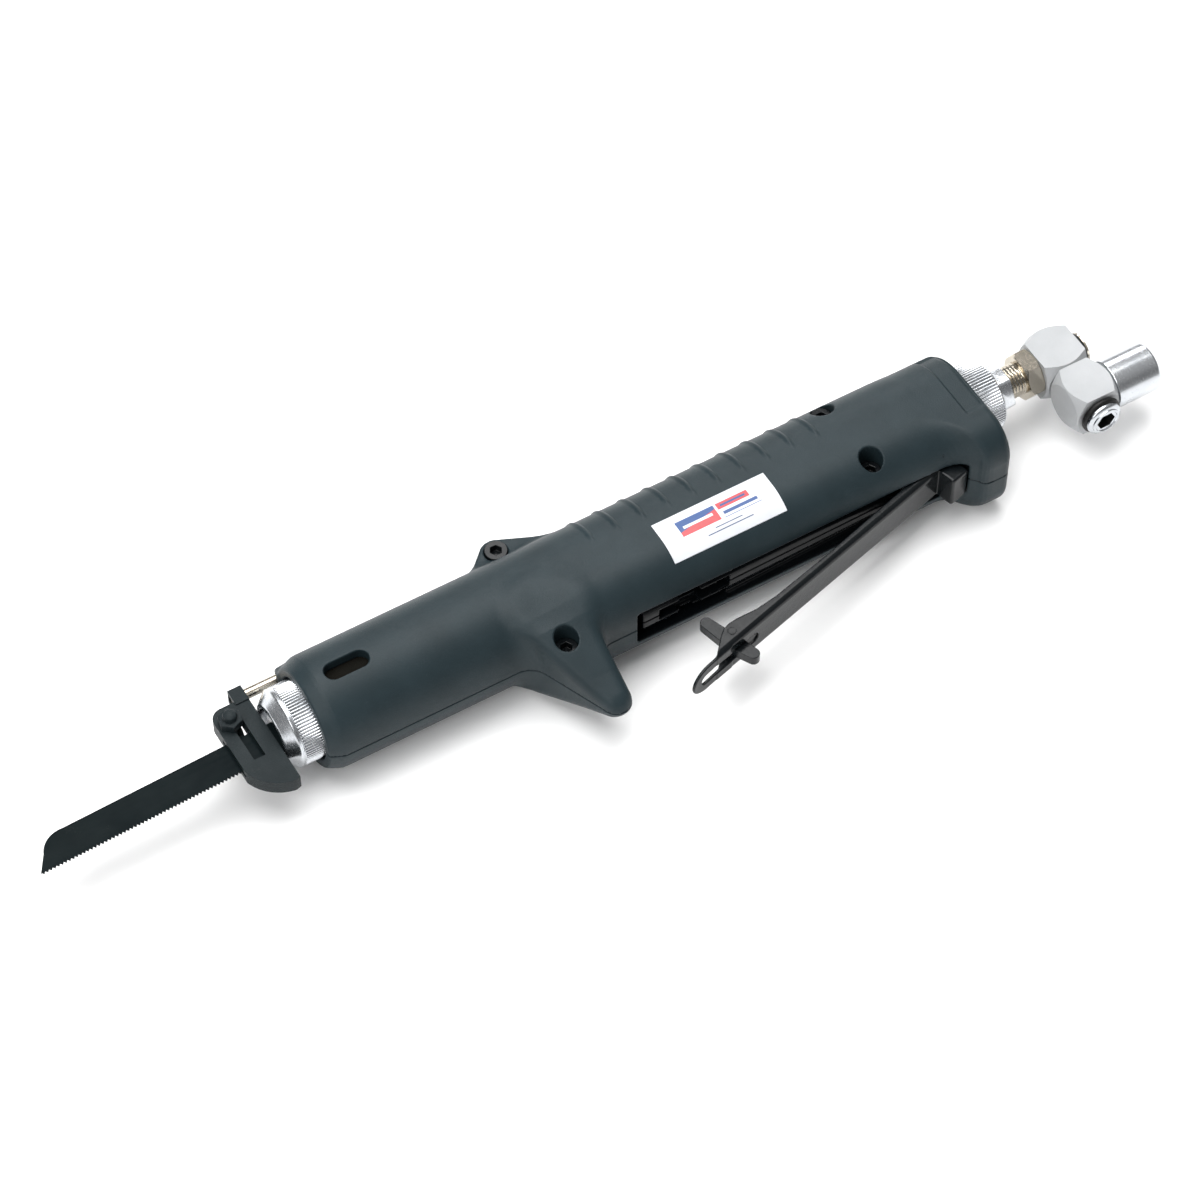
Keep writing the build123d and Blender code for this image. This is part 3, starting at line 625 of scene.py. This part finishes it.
def settle(points, field, reach=0.05):
    """Move points onto the field's zero; returns them with the surface's direction."""
    passes = 3
    steps = np.eye(3) * reach
    for turn in range(passes + 1):
        x, y, z = points.T
        slope = np.stack([(field(x + a, y + b, z + c) - field(x - a, y - b, z - c)) / (2 * reach)
                          for a, b, c in steps], 1)
        size = np.maximum((slope ** 2).sum(1), 0.05)
        if turn < passes:
            move = np.clip(field(x, y, z) / size, -0.5, 0.5)
            points = points - slope * move[:, None]
    return points, slope / np.sqrt(size)[:, None]


def quad_mesh(name, points, quads, normals, second=None):
    """Smooth mesh of quads; faces marked in second take the second material."""
    mesh = bpy.data.meshes.new(name)
    mesh.vertices.add(len(points))
    mesh.vertices.foreach_set("co", place(points).ravel())
    mesh.loops.add(quads.size)
    mesh.loops.foreach_set("vertex_index", quads.ravel())
    mesh.polygons.add(len(quads))
    mesh.polygons.foreach_set("loop_start", np.arange(0, quads.size, 4))
    mesh.update(calc_edges=True)
    if second is not None:
        mesh.polygons.foreach_set("material_index", second.astype(int))
    mesh.polygons.foreach_set("use_smooth", np.ones(len(quads), bool))
    mesh.validate()
    mesh.normals_split_custom_set_from_vertices([tuple(n) for n in normals])
    return mesh


def make_shells():
    step = np.array(((RIB_PITCH / 17, 0.6, 0.58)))
    low, high = np.array((-1.2, -56.5, -22.4)), np.array((272.4, 32.0, 22.8))
    axes = [np.arange(low[n], high[n] + step[n], step[n]) for n in range(3)]
    grid = np.meshgrid(*[a.astype(np.float32) for a in axes], indexing="ij", sparse=False)
    whole = shell_field(*grid)
    for node, side in (("left_housing_shell", 1), ("right_housing_shell", -1)):
        points, quads = surface_of(np.maximum(whole, SEAM - side * grid[2]), low, step)
        points, normals = settle(points, lambda x, y, z: smooth_max(shell_field(x, y, z),
                                                                    SEAM - side * z, 0.35))
        points[:, 2] = np.clip(points[:, 2], -SPINE_R, SPINE_R + 0.2)
        middle = points[quads].mean(1)
        deep = outer_field(*middle.T) < -0.5
        # faces deep in the lever's well take the near-black motor enamel instead of the housing plastic:
        # painted shade in the recess of the moulding
        painted_shade_in_well = deep & (middle[:, 0] > WELL_START - 0.5) & (middle[:, 1] < WELL_FLOOR + 0.6)
        painted_shade_in_well &= np.abs(middle[:, 2]) < WELL_HALF + 0.3
        mesh = quad_mesh(node + "_moulded", points, quads, normals, painted_shade_in_well)
        stand_for(node + "_moulded", mesh, node, "housing", "motor_black")


make_shells()


# ---- lever, a pressed channel ----
LEVER_REST = math.radians(14.8)
LEVER_LEN = 119.6


def lever_field(x, y, z):
    """Lever in its own frame: x from the pivot to the tip, y outward, z across."""
    across = np.abs(z)
    outer = round_max(y - 2.5, across - 7.7, 2.3)
    inner = round_max(y - 1.3, across - 6.5, 1.1)
    edge = np.interp(x, (-3.8, -1, 3.6, 10, 59.8, 86, 95, 103, 106.5, 109.5, 112.5, 119.6),
                     (-2.4, -4.2, -2.8, -1.4, -0.7, -1.2, -2.2, -4.3, -4.8, -4.4, -2.8, 1.9))
    ends = np.maximum(x - LEVER_LEN, -3.8 - x)
    channel = smooth_max(np.maximum(outer, -inner), np.maximum(edge - y, ends), 0.5)
    bend = np.clip((x - 116) / 16, 0, 1.2)
    tongue = np.abs(y - 1.9 - 0.7 * bend * bend) - 0.62
    plan = np.where(x < 124, across - 6.3, (np.hypot((x - 124) / 8.0, across / 6.3) - 1) * 6.3)
    tongue = smooth_max(tongue, np.maximum(plan, 112 - x), 0.6)
    solid = smooth_min(channel, tongue, 0.6)
    slot = np.maximum(capsule(x, z, 101.0, 0, 2.4, 125.2, 0, 2.4), -y)
    solid = smooth_max(solid, -slot, 0.4)
    sides = smooth_max(np.abs(x - 0.2) - 4.0, across - 7.0, 1.0)
    block = smooth_max(sides, np.maximum(1.4 - y, y - 9.6), 1.2)
    solid = smooth_min(solid, block, 0.5)
    holes = np.minimum(np.hypot(x, y) - 2.05, np.hypot(x - 108, y + 1.6) - 1.45)
    return np.maximum(solid, -holes)


def make_lever():
    step = np.full(3, 0.4)
    low, high = np.array((-4.6, -5.8, -8.6)), np.array((133.2, 10.6, 8.6))
    axes = [np.arange(low[n], high[n] + step[n], step[n]) for n in range(3)]
    points, quads = surface_of(lever_field(*np.meshgrid(*axes, indexing="ij")), low, step)
    points, normals = settle(points, lever_field, reach=0.04)
    c, s = math.cos(LEVER_REST), math.sin(LEVER_REST)
    turn = np.array(((-c, -s, 0), (s, -c, 0), (0, 0, 1)))
    mesh = quad_mesh("lever_pressed", points @ turn + np.array((*PIVOT, 0)), quads, normals @ turn)
    stand_for("lever_pressed", mesh, "throttle_lever")


make_lever()


# ---- turned and knurled pieces ----
def grooved(start, end, radius, depth):
    """Rows of a band of straight grooves that fade out at both ends."""
    way = 1 if end > start else -1
    return [(start, radius - 0.25, 0.0), (start + way * 0.2, radius, depth * 0.3),
            (start + way * 0.5, radius, depth), (end - way * 0.5, radius, depth),
            (end - way * 0.15, radius, depth * 0.2), (end, radius - 0.1, 0.0)]


def make_collar():
    rows = grooved(0.9, -6.9, 14.9, 0.5)
    rows += [(-7.1, 14.55, 0), (-7.5, 14.55, 0), (-7.7, 14.85, 0), (-8.3, 14.85, 0), (-8.7, 14.6, 0),
             (-8.9, 14.3, 0), (-12.0, 11.6, 0), (-12.4, 11.1, 0), (-12.5, 10.8, 0), (-12.5, 9.8, 0),
             (-12.2, 9.42, 0), (-5.1, 9.42, 0), (-5.05, 12.1, 0), (0.85, 12.1, 0)]
    stand_for("collar_knurled", turned("collar_knurled", rows, 80 * 8, teeth=80), "nose_collar")


def make_regulator():
    rows = grooved(271.7, 283.4, 13.7, 0.5)
    rows += [(283.6, 13.4, 0), (283.95, 13.0, 0), (284.0, 12.6, 0), (284.0, 9.4, 0), (283.8, 9.06, 0),
             (271.8, 9.06, 0), (271.7, 9.3, 0)]
    stand_for("regulator_knurled", turned("regulator_knurled", rows, 72 * 8, teeth=72), "regulator_ring")


def make_adaptor():
    """Adaptor with a helical thread, a turned hexagon and the spigot inside the swivel."""
    around, pitch = 72, 1.337
    theta = np.linspace(0, 2 * np.pi, around, endpoint=False)
    spots = np.arange(280.6, 297.9, pitch / 10)
    points = []
    for spot in spots:
        phase = (spot / pitch - theta / (2 * np.pi)) % 1.0
        groove = np.clip(np.abs(phase - 0.5) * 2, 0.12, 0.88)
        fade = float(ease(280.6, 281.8, spot) * ease(297.8, 296.8, spot))
        radius = 6.5 - 0.75 * (1 - groove) * fade - 0.25 * (1 - fade)
        points.append(np.stack((np.full(around, spot), radius * np.cos(theta), radius * np.sin(theta)), 1))
    count = len(spots)
    faces = []
    for i in range(count - 1):
        for j in range(around):
            a, b = i * around, (j + 1) % around
            faces.append((a + j, a + b, a + around + b, a + around + j))
    faces += [tuple(range(around))[::-1], tuple((count - 1) * around + j for j in range(around))]
    thread = mesh_from("thread", place(np.concatenate(points)), faces)
    turning = [(297.5, 8.4, 0), (299.1, 10.2, 0), (302.7, 10.2, 0), (304.1, 8.6, 0), (304.1, 0.01, 0),
               (297.5, 0.01, 0)]
    across_flats = 17
    nut = carve(prism("hexagon", hexagon(across_flats / math.sqrt(3)), 297.6, 304.0, "X"),
                ("INTERSECT", turned("turning", turning, 72)))
    spigot = [(303.9, 4.85, 0), (324.7, 4.85, 0), (324.9, 6.2, 0), (325.6, 6.3, 0), (325.8, 6.0, 0),
              (325.8, 0.01, 0), (303.9, 0.01, 0)]
    stem = turned("stem", spigot, 64)
    work = bmesh.new()
    for part in (thread, nut, stem):
        work.from_mesh(part)
    mesh = bpy.data.meshes.new("adaptor_threaded")
    work.to_mesh(mesh)
    work.free()
    mesh.materials.clear()
    mesh.polygons.foreach_set("use_smooth", np.ones(len(mesh.polygons), bool))
    mesh.set_sharp_from_angle(angle=math.radians(28))
    stand_for("adaptor_threaded", mesh, "inlet_adaptor")


def make_blocks():
    """Square swivel blocks with turned ends, their edges left bright by the lathe."""
    (ax0, _, az0), (ax1, ay1, az1) = tool_box("inner_swivel_block")
    (bx0, by0, _), (bx1, by1, _) = tool_box("outer_swivel_block")
    half = (ax1 - ax0) / 2
    corner = half * 1.42          # past the square's corners

    def turning(name, start, end, centre, along):
        rows = [(start, 0.01, 0), (start, half - 0.6, 0), (start + 0.5, half + 0.15, 0),
                (start + 3.4, corner, 0), (end - 3.4, corner, 0), (end - 0.5, half + 0.15, 0),
                (end, half - 0.6, 0), (end, 0.01, 0)]
        return turned(name, rows, 96, centre, along=along)

    def box_mesh(name, x0, x1, y0, y1):
        return prism(name, [(x0, y0), (x1, y0), (x1, y1), (x0, y1)], az0, az1)

    ay0 = by1 + 0.4
    inner = carve(box_mesh("inner", ax0, ax1, ay0, ay1),
                  ("INTERSECT", turning("inner_turning", ay0, ay1, ((ax0 + ax1) / 2, 0.0), "Y")))
    outer = carve(box_mesh("outer", bx0, bx1, by0, by1),
                  ("INTERSECT", turning("outer_turning", bx0, bx1, ((by0 + by1) / 2, 0.0), "X")))
    for name, mesh, node_name in (("inner_block", inner, "inner_swivel_block"),
                                  ("outer_block", outer, "outer_swivel_block")):
        piece = stand_for(name, mesh, node_name, "satin", "aluminium")
        soften(piece, 0.45, 20, 3, 1)
    # turned disc on the outer block's blank end
    rows = [(bx0 - 0.02, 0.01, 0), (bx0 - 0.02, 8.0, 0), (bx0 + 0.15, 8.35, 0), (bx0 + 1.0, 8.4, 0),
            (bx0 + 1.0, 0.01, 0)]
    disc = turned("blank_disc", rows, 96, ((by0 + by1) / 2, 0.0))
    piece = bpy.data.objects.new("blank_disc", disc)
    bpy.context.scene.collection.objects.link(piece)
    disc.materials.append(materials["satin"])
    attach(piece, body_of_node["outer_swivel_block"])


def make_bolt():
    """Swivel bolt with a stepped, polished cap and a hexagon socket whose inside takes the near-black nitrile
    as painted shade.
    """
    low, high = tool_box("swivel_bolt")
    x, face, end = (low[0] + high[0]) / 2, low[1], high[1]
    shank, socket = 4.85, 3.9
    profile = ((0.45, 0.01), (0.45, 4.5), (0, 4.8), (0, 5.3), (0.2, 5.6), (0.7, 5.7), (0.85, 6.1), (1.2, 6.9),
               (1.6, 7.15), (2.3, 7.15), (2.6, 6.9), (2.6, shank))
    rows = [(face + deep, radius, 0) for deep, radius in profile] + [(end, shank, 0), (end, 0.01, 0)]
    mesh = carve(turned("bolt_blank", rows, 96, (x, 0.0), along="Y"),
                 ("DIFFERENCE", prism("socket", hexagon(socket, x), face - 1.0, face + 4.0, "Y")))
    piece = stand_for("swivel_bolt_turned", mesh, "swivel_bolt", "aluminium", "rubber")
    # faces inside the socket take the near-black nitrile: painted shade in the recess
    for face_of in mesh.polygons:
        place_in = (np.array(face_of.center) - TOOL) / MM - (x, face, 0)
        inside = math.hypot(place_in[0], place_in[2]) < socket and 0.46 < place_in[1] < 4.2
        face_of.material_index = 1 if inside else 0
    soften(piece, 0.12)


def make_guard_nut():
    """Hexagon nut on the guard's plate with the stud's domed end above it, and its fellow below."""
    low, high = tool_box("guard_nuts")
    base, top = [corner[2] for corner in tool_box("guard_screw")]
    x, y = (low[0] + high[0]) / 2, (low[1] + high[1]) / 2
    work = bmesh.new()
    for start, end in ((high[2] - 2.35, high[2] + 1.0), (low[2], low[2] + 2.3)):
        rows = [(start, 0.01, 0), (start, 4.0, 0), (start + 0.3, 4.6, 0), (end - 0.5, 4.6, 0), (end, 3.8, 0),
                (end, 0.01, 0)]
        turning = turned("nut_turning", rows, 64, (x, y), along="Z")
        work.from_mesh(carve(prism("nut", hexagon(4.5, x, y, 20), start, end), ("INTERSECT", turning)))
    mesh = bpy.data.meshes.new("guard_nuts_cut")
    work.to_mesh(mesh)
    work.free()
    mesh.materials.clear()
    soften(stand_for("guard_nuts_cut", mesh, "guard_nuts"), 0.2)
    rows = [(base, 0.01, 0), (base, 1.3, 0), (base + 0.2, 1.5, 0), (high[2] + 1.05, 1.5, 0),
            (high[2] + 1.05, 2.6, 0), (top - 1.5, 2.6, 0), (top - 0.7, 2.35, 0), (top - 0.2, 1.6, 0),
            (top, 0.6, 0), (top, 0.01, 0)]
    stand_for("guard_stud", turned("guard_stud", rows, 48, (x, y), along="Z"), "guard_screw")


def make_rod():
    """Ground rod that ends inside the guard's block."""
    low, high = tool_box("guide_rod")
    radius, y = (high[2] - low[2]) / 2, (high[1] + low[1]) / 2
    start = tool_box("blade_guard")[1][0] - 4.7
    rows = [(start, 0.01, 0), (start, radius - 0.3, 0), (start + 0.3, radius, 0), (high[0] - 0.4, radius, 0),
            (high[0], radius - 0.4, 0), (high[0], 0.01, 0)]
    stand_for("guide_rod_ground", turned("guide_rod_ground", rows, 40, (y, 0.0)), "guide_rod")


make_blocks()
make_bolt()
make_rod()
make_guard_nut()
make_collar()
make_regulator()
make_adaptor()


# ---- the other pieces, with softened edges ----
EDGE_WIDTH = {"blade_guard": 0.8, "safety_latch": 0.7, "housing_screws": 0.35, "inlet_bushing": 0.4,
              "outlet_sleeve": 0.4, "blade_holder": 0.3, "blade_clamp_screws": 0.15, "outer_o_ring": 0.8,
              "inner_o_ring": 0.8}
for node_name, width in EDGE_WIDTH.items():
    piece = stand_for(node_name + "_fine", merged_copy(node_name), node_name)
    soften(piece, width)

replaced = {name for made in bpy.data.objects for name in made.get("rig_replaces", [])}
for name, slot in slot_of.items():
    if name not in replaced:
        cad = bpy.data.objects[name]
        cad.data.materials.clear()
        cad.data.materials.append(materials[slot])

make_camera()
make_studio()
